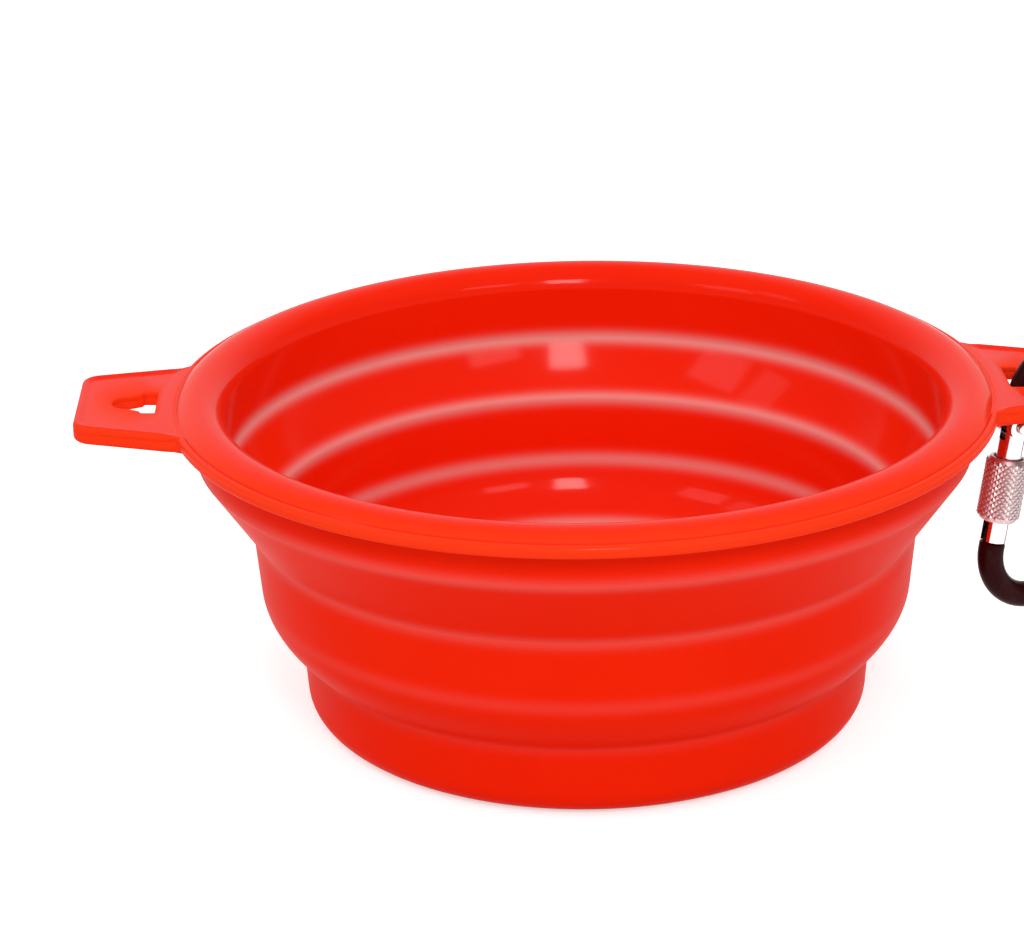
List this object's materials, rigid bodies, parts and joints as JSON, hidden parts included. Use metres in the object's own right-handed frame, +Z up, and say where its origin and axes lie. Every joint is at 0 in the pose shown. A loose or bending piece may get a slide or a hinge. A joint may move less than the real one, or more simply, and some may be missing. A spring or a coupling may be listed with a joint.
{
  "type": "collapsible dog bowl",
  "caption": "Round soft bowl whose stepped wall folds flat, with a flat holed ear on each side and a screw-lock clip hanging from one ear.",
  "frame": {"origin": "centre of the bowl's flat underside", "axes": "+Z up along the bowl's axis, +X towards the ear that carries the clip"},
  "size_m": [0.1743, 0.137, 0.061],
  "materials": {
    "silicone": "satin orange-red silicone",
    "hinge_silicone": "satin silicone, paler where thin",
    "black_rod": "gloss black coating",
    "silver": "polished, sleeve knurled",
    "spring_steel": "bright"
  },
  "bodies": {
    "base": {"base_cup": "silicone", "hinge_ring_1": "hinge_silicone", "lower_fold": "silicone"},
    "middle": {"hinge_ring_2": "hinge_silicone", "middle_band": "silicone", "hinge_ring_3": "hinge_silicone", "upper_fold": "silicone"},
    "rim": {"hinge_ring_4": "hinge_silicone", "collar_band": "silicone", "rim_ring": "silicone", "left_ear": "silicone", "right_ear": "silicone"},
    "carabiner": {"carabiner_frame": "black_rod", "gate_rivet": "silver"},
    "gate": {"gate": "silver", "gate_spring": "spring_steel"},
    "plunger": {"spring_plunger": "spring_steel"},
    "sleeve": {"lock_sleeve": "silver"}
  },
  "joints": [
    {"name": "lower_collapse", "type": "slide", "parent": "base", "child": "middle", "axis": [0, 0, 1], "range_m": [-0.0202, 0], "deforming": ["hinge_ring_1", "lower_fold", "hinge_ring_2"]},
    {"name": "upper_collapse", "type": "slide", "parent": "middle", "child": "rim", "axis": [0, 0, 1], "range_m": [-0.0258, 0], "deforming": ["hinge_ring_3", "upper_fold", "hinge_ring_4"]},
    {"name": "carabiner_swing", "type": "hinge", "parent": "rim", "child": "carabiner", "pos_m": [0.08065, 0.0025, 0.05024], "axis": [0.4067, -0.9135, 0], "range_deg": [-15, 60]},
    {"name": "gate_hinge", "type": "hinge", "parent": "carabiner", "child": "gate", "pos_m": [0.07217, -0.00127, 0.04711], "axis": [0.4067, -0.9135, 0], "range_deg": [0, 24], "stiffness_Nm_per_rad": 0.02, "springref_deg": -17.19},
    {"name": "plunger_slide", "type": "slide", "parent": "gate", "child": "plunger", "axis": [-0.1586, -0.0706, -0.9848], "range_m": [0, 0.0005], "deforming": ["gate_spring"]},
    {"name": "sleeve_slide", "type": "slide", "parent": "gate", "child": "sleeve", "axis": [-0.1586, -0.0706, -0.9848], "range_m": [-0.003, 0.0051]}
  ],
  "couplings": [
    {"joint": "plunger_slide", "follows": "gate_hinge", "m_per_rad": 0.00119}
  ]
}
